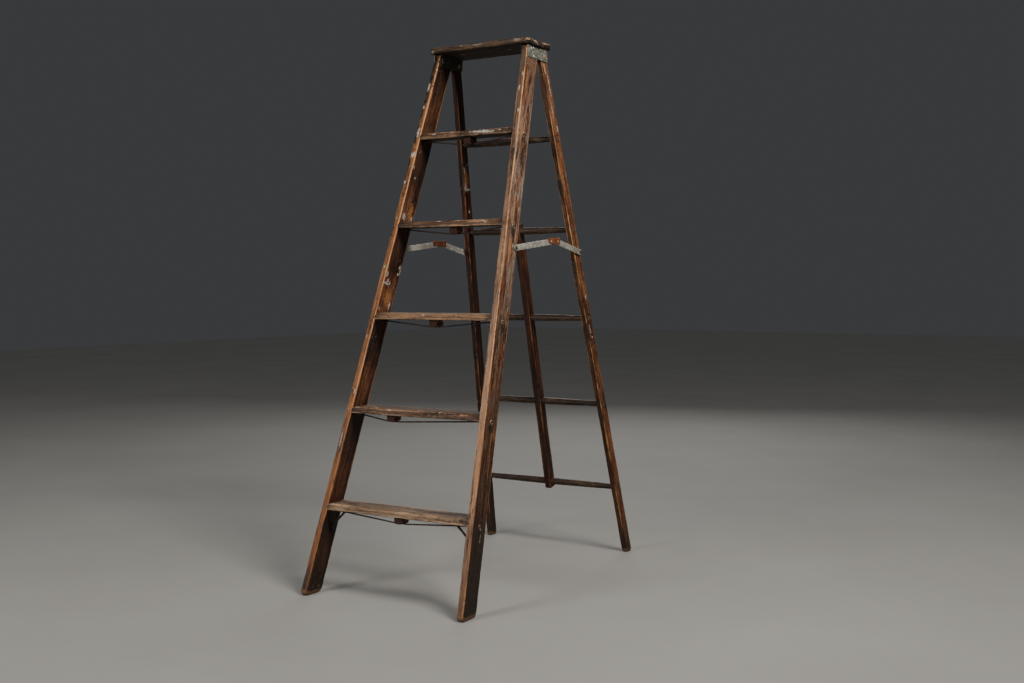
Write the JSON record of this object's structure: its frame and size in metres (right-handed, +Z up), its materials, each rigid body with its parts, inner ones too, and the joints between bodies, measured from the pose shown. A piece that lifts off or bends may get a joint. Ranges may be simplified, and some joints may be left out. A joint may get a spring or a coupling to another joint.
{
  "type": "folding wooden stepladder",
  "caption": "Antique wooden A-frame stepladder with flat treads, tie rods under them, a plain cap, a round-runged rear frame and folding steel spreaders.",
  "frame": {"origin": "on the floor at the centre of the open ladder's footprint, between the four feet", "axes": "+Z up; +X across the ladder, along the treads, to the right of someone facing the treads; the treads face -Y and the rear frame stands at +Y"},
  "size_m": [0.5896, 1.0954, 1.7195],
  "materials": {
    "stile_wood": "worn red-brown stain over old wood, with paint splashes",
    "tread_wood": "worn bare to grey-tan along the front edge",
    "cap_wood": "weathered and chipped at the ends",
    "rear_wood": "dark red-brown stain with long white paint drips",
    "rung_wood": "grey-brown, turned and unpolished",
    "block_wood": "dark red-brown",
    "dark_iron": "dark, lightly rusted wire and rivets",
    "galvanised_sheet": "pale mottled zinc with rust specks",
    "galvanised_bar": "dull zinc bar with some rust",
    "aged_steel": "aged rivets, nails and bolts",
    "rusty_steel": "orange-brown rust"
  },
  "bodies": {
    "front_frame": {"stile_left": "stile_wood", "stile_right": "stile_wood", "tread_1": "tread_wood", "tread_2": "tread_wood", "tread_3": "tread_wood", "tread_4": "tread_wood", "tread_5": "tread_wood", "top_cap": "cap_wood", "tie_rod_1": "dark_iron", "tie_rod_2": "dark_iron", "tie_rod_3": "dark_iron", "tie_rod_4": "dark_iron", "tie_rod_5": "dark_iron", "truss_block_1": "block_wood", "truss_block_2": "block_wood", "truss_block_3": "block_wood", "truss_block_4": "block_wood", "truss_block_5": "block_wood", "tie_rod_washers": "dark_iron", "tread_brace_left": "dark_iron", "tread_brace_right": "dark_iron", "brace_rivets": "dark_iron", "hinge_plate_outer_left": "galvanised_sheet", "hinge_plate_outer_right": "galvanised_sheet", "hinge_plate_inner_left": "galvanised_sheet", "hinge_plate_inner_right": "galvanised_sheet", "hinge_pin_left": "aged_steel", "hinge_pin_right": "aged_steel", "plate_nails": "aged_steel", "hinge_bolts": "aged_steel", "cap_nails": "dark_iron", "spreader_rivet_tails": "dark_iron"},
    "rear_frame": {"rear_leg_left": "rear_wood", "rear_leg_right": "rear_wood", "rung_1": "rung_wood", "rung_2": "rung_wood", "rung_3": "rung_wood", "rung_4": "rung_wood", "rung_5": "rung_wood", "centre_stile": "rear_wood", "spreader_leg_rivet_left": "aged_steel", "spreader_leg_rivet_right": "aged_steel"},
    "rear_link_left": {"spreader_rear_link_left": "galvanised_bar"},
    "clip_left": {"spreader_clip_left": "rusty_steel", "clip_rivets_left": "aged_steel"},
    "front_link_left": {"spreader_front_link_left": "galvanised_bar", "spreader_stile_rivet_left": "aged_steel"},
    "rear_link_right": {"spreader_rear_link_right": "galvanised_bar"},
    "clip_right": {"spreader_clip_right": "rusty_steel", "clip_rivets_right": "aged_steel"},
    "front_link_right": {"spreader_front_link_right": "galvanised_bar", "spreader_stile_rivet_right": "aged_steel"}
  },
  "joints": [
    {"name": "rear_fold", "type": "hinge", "parent": "front_frame", "child": "rear_frame", "pos_m": [0, 0.11403, 1.67599], "axis": [-1, 0, 0], "range_deg": [0, 32]},
    {"name": "rear_link_fold_left", "type": "hinge", "parent": "rear_frame", "child": "rear_link_left", "pos_m": [-0.2233, 0.278, 1.04995], "axis": [-1, 0, 0], "range_deg": [0, 70.11]},
    {"name": "clip_fold_left", "type": "hinge", "parent": "rear_link_left", "child": "clip_left", "pos_m": [-0.2233, 0.12025, 1.079], "axis": [1, 0, 0], "range_deg": [0, 38.11]},
    {"name": "front_link_fold_left", "type": "hinge", "parent": "clip_left", "child": "front_link_left", "pos_m": [-0.2233, 0.07725, 1.0775], "axis": [1, 0, 0], "range_deg": [0, 119.47]},
    {"name": "rear_link_fold_right", "type": "hinge", "parent": "rear_frame", "child": "rear_link_right", "pos_m": [0.2233, 0.278, 1.04995], "axis": [-1, 0, 0], "range_deg": [0, 70.11]},
    {"name": "clip_fold_right", "type": "hinge", "parent": "rear_link_right", "child": "clip_right", "pos_m": [0.2233, 0.12025, 1.079], "axis": [1, 0, 0], "range_deg": [0, 38.11]},
    {"name": "front_link_fold_right", "type": "hinge", "parent": "clip_right", "child": "front_link_right", "pos_m": [0.2233, 0.07725, 1.0775], "axis": [1, 0, 0], "range_deg": [0, 119.47]}
  ],
  "couplings": [
    {"joint": "rear_link_fold_left", "follows": "rear_fold", "ratio": 2.1906},
    {"joint": "clip_fold_left", "follows": "rear_fold", "ratio": 1.1907},
    {"joint": "front_link_fold_left", "follows": "rear_fold", "ratio": 3.7331},
    {"joint": "rear_link_fold_right", "follows": "rear_fold", "ratio": 2.1906},
    {"joint": "clip_fold_right", "follows": "rear_fold", "ratio": 1.1907},
    {"joint": "front_link_fold_right", "follows": "rear_fold", "ratio": 3.7331}
  ]
}
